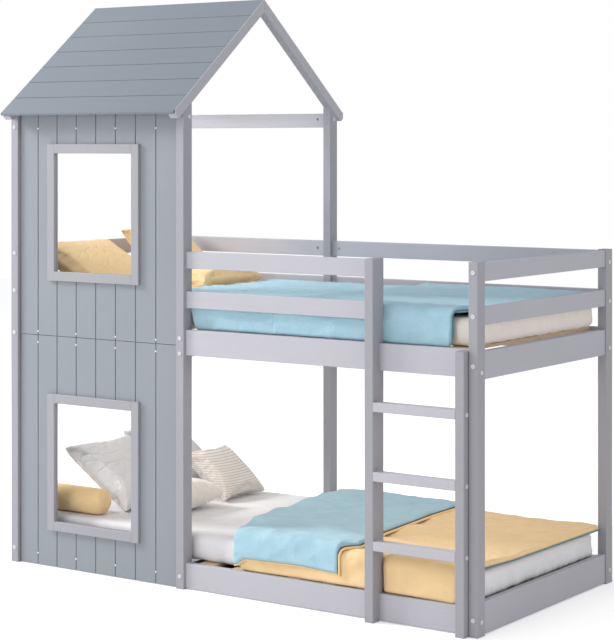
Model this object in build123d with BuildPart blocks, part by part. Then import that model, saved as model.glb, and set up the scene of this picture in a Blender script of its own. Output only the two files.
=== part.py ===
from build123d import *
import math
import os

# House bed: a bolted softwood bunk bed, one bed over the other, with a little house at its left end.
# Lengths are millimetres. X runs along the bed to the right, Y from its front to its back, Z up.
# The origin is the middle of the floor area that the whole bed covers, tails and bolt heads included.

# The whole bed, over the faces of its posts
bed_length = 2060
bed_width = 996
ridge_height = 2158
short_post_height = 1222
house_length = 845

# Posts
post_width = 35
post_depth = 50
edge_radius = 2.5

# Rails that carry the beds
rail_thickness = 24
upper_rail_bottom = 844
upper_rail_height = 92
lower_rail_bottom = 3
lower_rail_height = 91
upper_end_rail_drop = 8
upper_end_rail_height = 93
lower_end_rail_height = 106

# Guard rails of the upper bed
guard_thickness = 20
guard_height = 61
guard_gap = 82
guard_top_drop = 4

# Deck of each bed
ledger_size = 20
slat_width = 70
slat_thickness = 12
slat_edge_radius = 2
slat_drop = 1
slat_end_gap = 2
ledger_end_gap = 1
house_slat_count = 5
open_slat_count = 8
upper_beam_height = 88
lower_beam_height = 70

# Ladder
stile_width = 34
stile_depth = 68
stile_reach = 27
stile_notch_gap = 0.5
ladder_opening = 317
ladder_post_gap = 1
right_stile_height = 932
rung_height = 32
rung_back_gap = 2
rung_count = 3
first_rung_height = 259
rung_spacing = 233
rung_bolt_setback = 18.5

# Wall of the house
wall_recess = 12
wall_thickness = 10
wall_side_gap = 7
wall_joint_height = 878
wall_joint_gap = 2
wall_top = 1735
wall_board_pitch = 96.3
wall_groove_width = 5
groove_floor_width = 2
wall_groove_depth = 4
window_width = 378
window_height = 448
window_side = 185
upper_sill_height = 1123
lower_sill_height = 176
window_frame_width = 35

# Roof
roof_pitch = 38.24
rafter_depth = 38
rafter_radius = 2
panel_thickness = 9
panel_side_overhang = 5
panel_cheek_gap = 1
rafter_cheek = 5
eave_reach = 55
tail_reach = 44
tail_drop = 18
tail_chamfer = 12
roof_board_pitch = 100
roof_groove_width = 4
roof_groove_depth = 3
ridge_beam_height = 34
back_eave_beam_height = 56
front_eave_beam_height = 84
eave_beam_drop = 36.5
gable_tie_height = 56
gable_tie_drop = 29

# Fasteners
bolt_diameter = 6
bolt_head_diameter = 15
bolt_head_height = 2.5
bolt_tip = 10
nut_diameter = 10
nut_length = 12
nut_depth = 35
hole_clearance = 0.4
hole_overrun = 1
side_bolt_offset = 12
upper_side_bolt_rise = 17
lower_side_bolt_rise = 45
lower_stud_rise = 25
beam_bolt_drop = 18
beam_bolt_spacing = 55
eave_bolt_drop = 23
blind_depth = 24
dowel_diameter = 8
dowel_length = 50
ridge_pin_diameter = 5
ridge_pin_offset = 7
ridge_pin_length = 64
screw_diameter = 3.5
screw_head_diameter = 7
screw_head_height = 1.2
screw_clearance = 0.3
sunk_depth = 1.5
wall_screw_length = 30
frame_screw_length = 18
frame_screw_margin = 70
roof_screw_length = 34
roof_screws_per_rafter = 4
ledger_screw_length = 36
ledger_screws = 3
slat_screw_length = 24
stile_screw_length = 40
stile_screw_rises = (8, 31)
wall_screw_rise = 42
eave_screw_rise = 20
upper_joint_screw_rise = 14
lower_joint_screw_drop = 28

# Bedding
soft_gap = 0.3
mattress_thickness = 100
mattress_end_gap = 3
mattress_front_gap = 10
mattress_back_gap = 8
mattress_radius = 12
duvet_thickness = 30
duvet_radius = 6
upper_duvet_start = 575
upper_duvet_end_gap = 2
upper_drop_end_gap = 88
drop_start_gap = 5
drop_thickness = 17
drop_floor_gap = 2
lower_duvet_start = 1010
lower_drop_start = 1071
lower_duvet_overhang = 6
bulge_reach = 40
bulge_height = 95
bulge_side_gap = 9
bulge_floor_gap = 1
cushion_sections = ((-1, 0.55), (-0.75, 0.82), (0, 1), (0.75, 0.82), (1, 0.55))
cushion_corner_share = 0.14
bolster_diameter = 118
bolster_length = 345
bolster_left = 60
bolster_front = 64
bolster_radius = 25

# Cushions: middle from the left and front faces of the bed, lean in degrees, width, length, thickness
upper_cushions = (
    (198, 266, 33, 400, 400, 110),
    (200, 714, 33, 400, 410, 115),
    (468, 690, 0, 190, 420, 75),
)
lower_cushions = (
    (236, 376, 34, 400, 366, 110),
    (212, 752, 38, 400, 360, 110),
    (526, 388, 0, 195, 345, 130),
    (492, 750, 40, 300, 300, 95),
)

# Places that follow from the sizes above
x_left = -(bed_length + bolt_head_height - panel_side_overhang) / 2
x_right = x_left + bed_length
x_left_inner = x_left + post_width
x_middle_right = x_left + house_length
x_middle_left = x_middle_right - post_width
x_right_inner = x_right - post_width
y_front = -(bed_width + tail_reach - eave_reach) / 2
y_back = y_front + bed_width
y_front_inner = y_front + post_depth
y_back_inner = y_back - post_depth
y_ridge = (y_front + y_back) / 2
rail_recess = (post_depth - rail_thickness) / 2
guard_recess = (post_depth - guard_thickness) / 2
end_recess = (post_width - rail_thickness) / 2
y_wall = y_front + wall_recess
y_wall_back = y_wall + wall_thickness
upper_rail_top = upper_rail_bottom + upper_rail_height
lower_rail_top = lower_rail_bottom + lower_rail_height
top_guard_top = short_post_height - guard_top_drop
middle_guard_top = top_guard_top - guard_height - guard_gap
upper_deck = upper_rail_top - slat_drop
lower_deck = lower_rail_top - slat_drop
right_stile_left = x_right_inner - ladder_post_gap - stile_width
left_stile_left = right_stile_left - ladder_opening - stile_width
y_stile = y_front - stile_reach
wall_left = x_left_inner + wall_side_gap
wall_right = x_middle_left - wall_side_gap
window_left = x_left_inner + window_side
slope = math.tan(math.radians(roof_pitch))
sine = math.sin(math.radians(roof_pitch))
cosine = math.cos(math.radians(roof_pitch))

along_x = Vector(1, 0, 0)
along_y = Vector(0, 1, 0)
along_z = Vector(0, 0, 1)


def roof_top(y):
    """Height of the roof's upper surface at a distance y from front to back."""
    return ridge_height - slope * abs(y - y_ridge)


def plumb(thickness):
    """Vertical measure of a thickness that is square to the roof's slope."""
    return thickness / cosine


def rafter_underside(y):
    """Height of the rafters' lower edge at y."""
    return roof_top(y) - plumb(rafter_depth)


tail_level = rafter_underside(y_front) - tail_drop
eave_beam_top = tail_level + tail_drop + plumb(rafter_depth) - eave_beam_drop
front_eave_beam_bottom = eave_beam_top - front_eave_beam_height
gable_tie_top = eave_beam_top - gable_tie_drop
ridge_beam_top = roof_top(y_ridge - rail_thickness / 2) - plumb(panel_thickness)
ridge_beam_bottom = ridge_beam_top - ridge_beam_height

# Fasteners and their holes are listed first, because each timber is bored for all that cross it.
bolts = []
studs = []
nuts = []
screws = []
holes = []


def hole(start, way, length, diameter):
    """List a round hole, which every timber that it crosses gets."""
    cutter = Solid.make_cylinder(diameter / 2, length, Plane(origin=start, z_dir=way))
    holes.append((cutter, cutter.bounding_box()))


def nut(centre, bolt_way, open_way, cover):
    """List a barrel nut, and its hole from a face that is `cover` away from the bolt's axis."""
    nuts.append(Plane(origin=centre, x_dir=bolt_way, z_dir=open_way))
    behind = (nut_length + hole_clearance) / 2
    diameter = nut_diameter + hole_clearance
    hole(centre - open_way * behind, open_way, behind + cover + hole_overrun, diameter)


def bolt(head, way, passed, open_way, cover):
    """List a bolt through `passed` of one timber into the end of the next, where a barrel nut holds it."""
    length = passed + nut_depth + bolt_tip
    bolts.append((length, Plane(origin=head, z_dir=way)))
    hole(head, way, length + hole_overrun, bolt_diameter + hole_clearance)
    nut(head + way * (passed + nut_depth), way, open_way, cover)


def stud(start, way, length, diameter):
    """List a plain pin or double-ended stud, hidden at both ends."""
    studs.append((length, diameter, Plane(origin=start, z_dir=way)))
    hole(start - way * hole_overrun, way, length + 2 * hole_overrun, diameter + hole_clearance)


def rail_stud(middle, open_way, left_cover, right_cover):
    """List a stud along X through a middle post, with a barrel nut in the rail at each side."""
    reach = post_width / 2 + nut_depth
    stud(middle - along_x * (reach + bolt_tip), along_x, 2 * (reach + bolt_tip), bolt_diameter)
    nut(middle - along_x * reach, along_x, open_way, left_cover)
    nut(middle + along_x * reach, along_x, open_way, right_cover)


def screw(surface, way, length, sunk=0):
    """List a wood screw; its head stands on the surface, or lies `sunk` below it."""
    seat = surface + way * sunk
    screws.append((length, Plane(origin=seat, z_dir=way)))
    hole(seat, way, length + hole_overrun, screw_diameter + screw_clearance)
    if sunk:
        hole(surface - way * hole_overrun, way, sunk + hole_overrun, screw_head_diameter + screw_clearance)


def rail_centre(bottom, height):
    return bottom + height / 2


# Bolts along Y, through the corner posts into the ends' rails and guards
top_guard_centre = top_guard_top - guard_height / 2
middle_guard_centre = middle_guard_top - guard_height / 2
upper_end_rail_bottom = upper_rail_bottom - upper_end_rail_drop
end_heights = (
    top_guard_centre,
    middle_guard_centre,
    rail_centre(upper_end_rail_bottom, upper_end_rail_height),
    rail_centre(lower_rail_bottom, lower_end_rail_height),
)
for face_y, inward in ((y_front, along_y), (y_back, -along_y)):
    for outer_x, into_bed in ((x_left, along_x), (x_right, -along_x)):
        bolt_x = outer_x + into_bed.X * post_width / 2
        for height in end_heights:
            member = guard_thickness if height > upper_rail_top else rail_thickness
            inner_face = end_recess + member - post_width / 2
            bolt(Vector(bolt_x, face_y, height), inward, post_depth, into_bed, inner_face)
    tie_height = gable_tie_top - gable_tie_height / 2
    tie_head = Vector(x_left + post_width / 2, face_y, tie_height)
    bolt(tie_head, inward, post_depth, along_x, rail_thickness / 2)

# Bolts along Y, through the middle posts into the cross beams
x_middle = (x_middle_left + x_middle_right) / 2
ledger_top_upper = upper_deck - slat_thickness
ledger_top_lower = lower_deck - slat_thickness
beam_heights = (
    ledger_top_upper - beam_bolt_drop,
    ledger_top_upper - beam_bolt_drop - beam_bolt_spacing,
    ledger_top_lower - lower_beam_height / 2,
)
for face_y, inward in ((y_front, along_y), (y_back, -along_y)):
    for height in beam_heights:
        bolt(Vector(x_middle, face_y, height), inward, post_depth, along_x, rail_thickness / 2)

# Bolts along X, through the end posts into the side rails, guards and eave beams
side_heights = (upper_rail_bottom + upper_side_bolt_rise, lower_rail_bottom + lower_side_bolt_rise)
guard_heights = (top_guard_centre - side_bolt_offset, middle_guard_centre - side_bolt_offset)
y_rail = y_front + post_depth / 2
y_wall_rail = y_wall_back + rail_thickness / 2
y_back_rail = y_back - post_depth / 2
eave_bolt_height = eave_beam_top - eave_bolt_drop
half_rail = rail_thickness / 2
half_guard = guard_thickness / 2
for height in side_heights:
    bolt(Vector(x_left, y_wall_rail, height), along_x, post_width, along_y, half_rail)
    bolt(Vector(x_right, y_rail, height), -along_x, post_width, along_y, half_rail)
    bolt(Vector(x_left, y_back_rail, height), along_x, post_width, -along_y, half_rail)
    bolt(Vector(x_right, y_back_rail, height), -along_x, post_width, -along_y, half_rail)
for height in guard_heights:
    bolt(Vector(x_left, y_back_rail, height), along_x, post_width, -along_y, half_guard)
    bolt(Vector(x_right, y_back_rail, height), -along_x, post_width, -along_y, half_guard)
for beam_y, into_house in ((y_wall_rail, along_y), (y_back_rail, -along_y)):
    bolt(Vector(x_left, beam_y, eave_bolt_height), along_x, post_width, into_house, half_rail)
    bolt(Vector(x_middle_right, beam_y, eave_bolt_height), -along_x, post_width, into_house, half_rail)

# The front guards: bolted through the middle post, and studs into the ladder's left stile
for height in (top_guard_centre, middle_guard_centre):
    bolt(Vector(x_middle_left, y_rail, height), along_x, post_width, along_y, half_guard)
    nut_x = left_stile_left - nut_depth
    stud_start = Vector(nut_x - bolt_tip, y_rail, height)
    stud(stud_start, along_x, nut_depth + bolt_tip + blind_depth, bolt_diameter)
    nut(Vector(nut_x, y_rail, height), along_x, along_y, half_guard)

# Studs through the middle posts, where a rail meets each side
y_front_stud = (y_wall_back + y_front + rail_recess + rail_thickness) / 2
front_covers = (y_wall_back + rail_thickness - y_front_stud, y_rail + half_rail - y_front_stud)
for height in (rail_centre(upper_rail_bottom, upper_rail_height) - half_rail, lower_rail_bottom + lower_stud_rise):
    rail_stud(Vector(x_middle, y_front_stud, height), along_y, *front_covers)
    rail_stud(Vector(x_middle, y_back_rail, height), -along_y, half_rail, half_rail)
for height in (top_guard_centre, middle_guard_centre):
    rail_stud(Vector(x_middle, y_back_rail, height), -along_y, half_guard, half_guard)

# Rungs, bolted through both stiles
rung_depth = rail_recess - rung_back_gap + stile_reach
y_rung_bolt = y_stile + rung_bolt_setback
rung_heights = [first_rung_height + rung_spacing * number for number in range(rung_count)]
for height in rung_heights:
    for face_x, inward in ((left_stile_left, along_x), (right_stile_left + stile_width, -along_x)):
        head = Vector(face_x, y_rung_bolt, height)
        bolt(head, inward, stile_width, along_y, rung_depth - rung_bolt_setback)

# Dowels between post tops and rafters, and pins between rafters and ridge beam
for rafter_x in (x_left + post_width / 2, x_middle):
    for post_y in (y_front + post_depth / 2, y_back - post_depth / 2):
        foot = rafter_underside(post_y) - dowel_length / 2
        stud(Vector(rafter_x, post_y, foot), along_z, dowel_length, dowel_diameter)
pin_height = (ridge_beam_top + ridge_beam_bottom) / 2
for start_x in (x_left_inner - blind_depth, x_middle_left + blind_depth - ridge_pin_length):
    for side in (-1, 1):
        start = Vector(start_x, y_ridge + side * ridge_pin_offset, pin_height)
        stud(start, along_x, ridge_pin_length, ridge_pin_diameter)

# Wood screws of the wall, in every second groove
wall_groove_count = int((wall_right - wall_left) // wall_board_pitch)
wall_grooves = [wall_right - wall_board_pitch * number for number in range(1, wall_groove_count + 1)]
wall_screw_heights = (
    lower_rail_bottom + wall_screw_rise,
    wall_joint_height - lower_joint_screw_drop,
    wall_joint_height + upper_joint_screw_rise,
    front_eave_beam_bottom + eave_screw_rise,
)
for groove in wall_grooves[::2]:
    for height in wall_screw_heights:
        screw(Vector(groove, y_wall, height), along_y, wall_screw_length)

# Wood screws through the wall from behind, into the window frames
window_right = window_left + window_width
for sill in (lower_sill_height, upper_sill_height):
    lintel = sill + window_height
    half_frame = window_frame_width / 2
    for height in (sill + frame_screw_margin, lintel - frame_screw_margin):
        for screw_x in (window_left - half_frame, window_right + half_frame):
            screw(Vector(screw_x, y_wall_back, height), -along_y, frame_screw_length)
    for screw_x in (window_left + frame_screw_margin, window_right - frame_screw_margin):
        for height in (sill - half_frame, lintel + half_frame):
            screw(Vector(screw_x, y_wall_back, height), -along_y, frame_screw_length)

# Wood screws through the front rafters into the roof panel
up_slope = Vector(0, cosine, sine)
roof_normal = Vector(0, -sine, cosine)
slope_length = (y_ridge - y_front + eave_reach) / cosine
rafter_screw_step = slope_length / (roof_screws_per_rafter + 1)
eave_tip = Vector(0, y_front - eave_reach, roof_top(y_front - eave_reach))
for rafter_x in (x_left + post_width / 2, x_middle):
    for number in range(1, roof_screws_per_rafter + 1):
        on_top = eave_tip + up_slope * (rafter_screw_step * number)
        below = on_top - roof_normal * rafter_depth
        screw(Vector(rafter_x, below.Y, below.Z), roof_normal, roof_screw_length)

# Bays of the deck: the house's and the open bed's, each with its X range and its front rail's inner face
bays = (
    (x_left_inner, x_middle_left, y_wall_back + rail_thickness, house_slat_count),
    (x_middle_right, x_right_inner, y_front + rail_recess + rail_thickness, open_slat_count),
)
y_back_face = y_back - rail_recess - rail_thickness
ledgers = []
slats = []
for deck in (lower_deck, upper_deck):
    ledger_top = deck - slat_thickness
    for start, end, y_front_face, slat_count in bays:
        for face, inward in ((y_front_face, along_y), (y_back_face, -along_y)):
            sides = sorted((face, face + inward.Y * ledger_size))
            low = (start + ledger_end_gap, sides[0], ledger_top - ledger_size)
            high = (end - ledger_end_gap, sides[1], ledger_top)
            ledgers.append((low, high))
            spacing = (end - start) / ledger_screws
            for number in range(ledger_screws):
                head_x = start + spacing * (number + 0.5) + slat_width
                head_y = face + inward.Y * ledger_size
                height = ledger_top - ledger_size / 2
                screw(Vector(head_x, head_y, height), -inward, ledger_screw_length)
        pitch = (end - start) / slat_count
        for number in range(slat_count):
            middle = start + pitch * (number + 0.5)
            low = (middle - slat_width / 2, y_front_face + slat_end_gap, ledger_top)
            high = (middle + slat_width / 2, y_back_face - slat_end_gap, deck)
            slats.append((low, high))
            for head_y in (y_front_face + ledger_size / 2, y_back_face - ledger_size / 2):
                screw(Vector(middle, head_y, deck), -along_z, slat_screw_length, sunk=sunk_depth)

# Wood screws from the rails' inner faces into the ladder's stiles
y_open_face = y_front + rail_recess + rail_thickness
for stile_left in (left_stile_left, right_stile_left):
    for bottom in (lower_rail_bottom, upper_rail_bottom):
        for rise in stile_screw_rises:
            head = Vector(stile_left + stile_width / 2, y_open_face, bottom + rise)
            screw(head, -along_y, stile_screw_length)

os.makedirs("parts", exist_ok=True)


def keep(piece, name):
    """Label a finished piece and write it."""
    piece.part.label = name
    export_step(piece.part, f"parts/{name}.step")


def bore(low, high):
    """Cut the holes that cross the box from low to high out of the piece being built."""
    crossing = []
    for cutter, box in holes:
        starts = (box.min.X < high[0], box.min.Y < high[1], box.min.Z < high[2])
        ends = (box.max.X > low[0], box.max.Y > low[1], box.max.Z > low[2])
        if all(starts) and all(ends):
            crossing.append(cutter)
    if crossing:
        add(crossing, mode=Mode.SUBTRACT)


def board(low, high, along, radius=edge_radius):
    """Add a straight board between two opposite corners, its four long edges rounded."""
    directions = (along_x, along_y, along_z)
    index = "xyz".index(along)
    across, upright = (index + 1) % 3, (index + 2) % 3
    size = [end - start for start, end in zip(low, high)]
    origin = [(start + end) / 2 for start, end in zip(low, high)]
    origin[index] = low[index]
    with BuildSketch(Plane(origin=tuple(origin), x_dir=directions[across], z_dir=directions[index])) as section:
        RectangleRounded(size[across], size[upright], radius)
    extrude(section.sketch, amount=size[index])


def cut_box(low, high):
    """Cut a box between two opposite corners out of the piece being built."""
    centre = [(start + end) / 2 for start, end in zip(low, high)]
    with Locations(tuple(centre)):
        Box(*[end - start for start, end in zip(low, high)], mode=Mode.SUBTRACT)


def make_board(name, low, high, along, radius=edge_radius):
    """Build and keep one plain bored board."""
    with BuildPart() as piece:
        board(low, high, along, radius)
        bore(low, high)
    keep(piece, name)


# Tall posts, cut on the slope under the rafters
for name, post_left, post_front in (
    ("post_front_left", x_left, y_front),
    ("post_front_middle", x_middle_left, y_front),
    ("post_back_left", x_left, y_back_inner),
    ("post_back_middle", x_middle_left, y_back_inner),
):
    at_front = post_front == y_front
    outer_face = y_front if at_front else y_back
    normal = roof_normal if at_front else Vector(0, sine, cosine)
    low = (post_left, post_front, 0)
    high = (post_left + post_width, post_front + post_depth, ridge_height)
    with BuildPart() as post:
        board(low, high, "z")
        top_cut = Plane(origin=(post_left, outer_face, rafter_underside(outer_face)), z_dir=normal)
        split(bisect_by=top_cut, keep=Keep.BOTTOM)
        bore(low, high)
    keep(post, name)

# Short posts, with softened tops
for name, post_front in (("post_front_right", y_front), ("post_back_right", y_back_inner)):
    low = (x_right_inner, post_front, 0)
    high = (x_right, post_front + post_depth, short_post_height)
    with BuildPart() as post:
        board(low, high, "z")
        fillet(post.edges().group_by(Axis.Z)[-1], rafter_radius)
        bore(low, high)
    keep(post, name)

# Side rails: the house's front ones stand behind the wall, the others in the middle of the posts
rail_lines = (
    ("front_house", x_left_inner, x_middle_left, y_wall_back),
    ("front", x_middle_right, x_right_inner, y_front + rail_recess),
    ("back_house", x_left_inner, x_middle_left, y_back_face),
    ("back", x_middle_right, x_right_inner, y_back_face),
)
levels = (("upper", upper_rail_bottom, upper_rail_top), ("lower", lower_rail_bottom, lower_rail_top))
for level, bottom, top in levels:
    for line, start, end, near in rail_lines:
        low = (start, near, bottom)
        high = (end, near + rail_thickness, top)
        make_board(f"{level}_rail_{line}", low, high, "x")

# Rails and guards across both ends
for side, outer, sign in (("left", x_left + end_recess, 1), ("right", x_right - end_recess, -1)):
    for name, bottom, height, thickness in (
        (f"upper_end_rail_{side}", upper_end_rail_bottom, upper_end_rail_height, rail_thickness),
        (f"lower_end_rail_{side}", lower_rail_bottom, lower_end_rail_height, rail_thickness),
        (f"guard_{side}_top", top_guard_top - guard_height, guard_height, guard_thickness),
        (f"guard_{side}_middle", middle_guard_top - guard_height, guard_height, guard_thickness),
    ):
        near, far = sorted((outer, outer + sign * thickness))
        make_board(name, (near, y_front_inner, bottom), (far, y_back_inner, bottom + height), "y")

# Guards along both sides
y_back_guard = y_back - guard_recess - guard_thickness
for level, top in (("top", top_guard_top), ("middle", middle_guard_top)):
    for line, start, end, near in (
        ("front", x_middle_right, left_stile_left, y_front + guard_recess),
        ("back_house", x_left_inner, x_middle_left, y_back_guard),
        ("back", x_middle_right, x_right_inner, y_back_guard),
    ):
        low = (start, near, top - guard_height)
        high = (end, near + guard_thickness, top)
        make_board(f"guard_{line}_{level}", low, high, "x")

# Cross beams between the middle posts
for level, top, height in (
    ("upper", ledger_top_upper, upper_beam_height),
    ("lower", ledger_top_lower, lower_beam_height),
):
    low = (x_middle_left + end_recess, y_front_inner, top - height)
    high = (x_middle_right - end_recess, y_back_inner, top)
    make_board(f"{level}_cross_beam", low, high, "y")

# Ledgers and slats
with BuildPart() as slat_ledgers:
    for low, high in ledgers:
        board(low, high, "x", slat_edge_radius)
    bore((x_left, y_front, 0), (x_right, y_back, upper_deck))
keep(slat_ledgers, "slat_ledgers")

with BuildPart() as bed_slats:
    for low, high in slats:
        board(low, high, "y", slat_edge_radius)
    for deck in (lower_deck, upper_deck):
        bore((x_left, y_front, deck - slat_thickness), (x_right, y_back, deck))
keep(bed_slats, "bed_slats")

# Ladder stiles, notched from behind over the rails; the right one ends under the upper rail's top
for side, stile_left, top in (
    ("left", left_stile_left, short_post_height),
    ("right", right_stile_left, right_stile_height),
):
    low = (stile_left, y_stile, 0)
    high = (stile_left + stile_width, y_stile + stile_depth, top)
    with BuildPart() as stile:
        board(low, high, "z")
        fillet(stile.edges().group_by(Axis.Z)[-1], rafter_radius)
        for bottom, rail_top in ((0, lower_rail_top), (upper_rail_bottom, upper_rail_top)):
            notch_low = (low[0], y_front + rail_recess, bottom - stile_notch_gap)
            cut_box(notch_low, (high[0], high[1], rail_top + stile_notch_gap))
        bore(low, high)
    keep(stile, f"ladder_stile_{side}")

# Rungs
for number, height in enumerate(rung_heights, start=1):
    low = (left_stile_left + stile_width, y_stile, height - rung_height / 2)
    high = (right_stile_left, y_stile + rung_depth, height + rung_height / 2)
    make_board(f"ladder_rung_{number}", low, high, "x")

# Wall panels: boards joined edge to edge, with a groove at each joint and a window in each panel
for level, bottom, top, sill in (
    ("lower", lower_rail_bottom, wall_joint_height - wall_joint_gap / 2, lower_sill_height),
    ("upper", wall_joint_height + wall_joint_gap / 2, wall_top, upper_sill_height),
):
    with BuildPart() as wall:
        with BuildSketch(Plane.XY.offset(bottom)):
            with Locations(((wall_left + wall_right) / 2, (y_wall + y_wall_back) / 2)):
                Rectangle(wall_right - wall_left, wall_thickness)
            for groove in wall_grooves:
                with BuildLine():
                    Polyline(
                        (groove - wall_groove_width / 2, y_wall),
                        (groove - groove_floor_width / 2, y_wall + wall_groove_depth),
                        (groove + groove_floor_width / 2, y_wall + wall_groove_depth),
                        (groove + wall_groove_width / 2, y_wall),
                        close=True,
                    )
                make_face(mode=Mode.SUBTRACT)
        extrude(amount=top - bottom)
        cut_box((window_left, y_wall, sill), (window_right, y_wall_back, sill + window_height))
        bore((wall_left, y_wall, bottom), (wall_right, y_wall_back, top))
    keep(wall, f"wall_panel_{level}")

# Window frames: four strips, the upright ones full height
for level, sill in (("lower", lower_sill_height), ("upper", upper_sill_height)):
    lintel = sill + window_height
    frame_bottom, frame_top = sill - window_frame_width, lintel + window_frame_width
    frame_left, frame_right = window_left - window_frame_width, window_right + window_frame_width
    with BuildPart() as window_frame:
        for near, far in ((frame_left, window_left), (window_right, frame_right)):
            board((near, y_front, frame_bottom), (far, y_wall, frame_top), "z", slat_edge_radius)
        for low_edge, high_edge in ((frame_bottom, sill), (lintel, frame_top)):
            board((window_left, y_front, low_edge), (window_right, y_wall, high_edge), "x", slat_edge_radius)
        bore((frame_left, y_front, frame_bottom), (frame_right, y_wall, frame_top))
    keep(window_frame, f"window_frame_{level}")

# Roof panel, laid on the front rafters, with a groove at each board joint
panel_right = x_middle_right - rafter_cheek - panel_cheek_gap
panel_left = x_left - panel_side_overhang
eave_top = (eave_tip.Y, eave_tip.Z)
eave_bottom = (eave_tip.Y + sine * panel_thickness, eave_tip.Z - cosine * panel_thickness)
panel_outline = (
    eave_top,
    (y_ridge, ridge_height),
    (y_ridge, ridge_height - plumb(panel_thickness)),
    eave_bottom,
)
with BuildPart() as roof_panel:
    with BuildSketch(Plane.YZ.offset(panel_left)):
        with BuildLine():
            Polyline(*panel_outline, close=True)
        make_face()
        for number in range(1, int(slope_length // roof_board_pitch)):
            along = eave_tip + up_slope * (roof_board_pitch * number)
            corners = []
            for half, depth in (
                (-roof_groove_width / 2, 0),
                (-groove_floor_width / 2, roof_groove_depth),
                (groove_floor_width / 2, roof_groove_depth),
                (roof_groove_width / 2, 0),
            ):
                corner = along + up_slope * half - roof_normal * depth
                corners.append((corner.Y, corner.Z))
            with BuildLine():
                Polyline(*corners, close=True)
            make_face(mode=Mode.SUBTRACT)
    extrude(amount=panel_right - panel_left)
    panel_box_low = (panel_left, eave_tip.Y, eave_bottom[1])
    bore(panel_box_low, (panel_right, y_ridge, ridge_height))
keep(roof_panel, "roof_panel")

# Rafters, plumb at the ridge, with a level cut and a chamfer at the tail
level_start = y_ridge - (ridge_height - plumb(rafter_depth) - tail_level) / slope
tail_end = y_front - tail_reach
front_profile = (
    (y_ridge, ridge_height),
    (tail_end, roof_top(tail_end)),
    (tail_end, tail_level + tail_chamfer),
    (tail_end + tail_chamfer, tail_level),
    (level_start, tail_level),
    (y_ridge, ridge_height - plumb(rafter_depth)),
)
back_profile = [(2 * y_ridge - y, z) for y, z in front_profile]
for name, rafter_left, profile, rebate_width in (
    ("rafter_front_left", x_left, front_profile, post_width),
    ("rafter_front_middle", x_middle_left, front_profile, post_width - rafter_cheek),
    ("rafter_back_left", x_left, back_profile, 0),
    ("rafter_back_middle", x_middle_left, back_profile, 0),
):
    with BuildPart() as rafter:
        with BuildSketch(Plane.YZ.offset(rafter_left)):
            with BuildLine():
                Polyline(*profile, close=True)
            make_face()
        extrude(amount=post_width)
        fillet(rafter.edges().filter_by(Axis.X, reverse=True), rafter_radius)
        if rebate_width:
            with BuildSketch(Plane.YZ.offset(rafter_left)):
                with BuildLine():
                    Polyline(*panel_outline, close=True)
                make_face()
            extrude(amount=rebate_width, mode=Mode.SUBTRACT)
        rafter_box = rafter.part.bounding_box()
        bore(tuple(rafter_box.min), tuple(rafter_box.max))
    keep(rafter, name)

# Ridge beam, eave beams and the left gable's tie
half_beam = rail_thickness / 2
make_board(
    "ridge_beam",
    (x_left_inner, y_ridge - half_beam, ridge_beam_bottom),
    (x_middle_left, y_ridge + half_beam, ridge_beam_top),
    "x",
)
make_board(
    "eave_beam_front",
    (x_left_inner, y_wall_back, front_eave_beam_bottom),
    (x_middle_left, y_wall_back + rail_thickness, eave_beam_top),
    "x",
)
make_board(
    "eave_beam_back",
    (x_left_inner, y_back_face, eave_beam_top - back_eave_beam_height),
    (x_middle_left, y_back_face + rail_thickness, eave_beam_top),
    "x",
)
make_board(
    "gable_tie_left",
    (x_left + end_recess, y_front_inner, gable_tie_top - gable_tie_height),
    (x_left_inner - end_recess, y_back_inner, gable_tie_top),
    "y",
)


def rod(diameter, start, length):
    """Add a round rod on the Z axis of the piece being built."""
    with BuildSketch(Plane.XY.offset(start)) as section:
        Circle(diameter / 2)
    extrude(section.sketch, amount=length)


def place_copies(places, shape):
    """Add a copy of a finished shape at each place."""
    with Locations(*[place.location for place in places]):
        add(shape)


def by_size(items):
    """Group places by the sizes that come before them."""
    groups = {}
    for *size, place in items:
        groups.setdefault(tuple(size), []).append(place)
    return groups


# Connector bolts: a flat disc head and a plain shank
bolt_groups = []
for (length,), places in by_size(bolts).items():
    with BuildPart() as single_bolt:
        rod(bolt_head_diameter, -bolt_head_height, bolt_head_height)
        fillet(single_bolt.edges().group_by(Axis.Z)[0], bolt_head_height / 3)
        rod(bolt_diameter, 0, length)
    bolt_groups.append((places, single_bolt.part))
with BuildPart() as connector_bolts:
    for places, shape in bolt_groups:
        place_copies(places, shape)
keep(connector_bolts, "connector_bolts")

# Studs, dowels and pins
stud_groups = []
for (length, diameter), places in by_size(studs).items():
    with BuildPart() as single_stud:
        rod(diameter, 0, length)
    stud_groups.append((places, single_stud.part))
with BuildPart() as rail_studs:
    for places, shape in stud_groups:
        place_copies(places, shape)
keep(rail_studs, "rail_studs")

# Barrel nuts, each with its bolt's hole across it
with BuildPart() as single_nut:
    rod(nut_diameter, -nut_length / 2, nut_length)
    with BuildSketch(Plane.YZ.offset(-nut_diameter)):
        Circle((bolt_diameter + hole_clearance) / 2)
    extrude(amount=2 * nut_diameter, mode=Mode.SUBTRACT)
with BuildPart() as barrel_nuts:
    place_copies(nuts, single_nut.part)
keep(barrel_nuts, "barrel_nuts")

# Wood screws
screw_groups = []
for (length,), places in by_size(screws).items():
    with BuildPart() as single_screw:
        rod(screw_head_diameter, -screw_head_height, screw_head_height)
        rod(screw_diameter, 0, length)
    screw_groups.append((places, single_screw.part))
with BuildPart() as wood_screws:
    for places, shape in screw_groups:
        place_copies(places, shape)
keep(wood_screws, "wood_screws")

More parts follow.
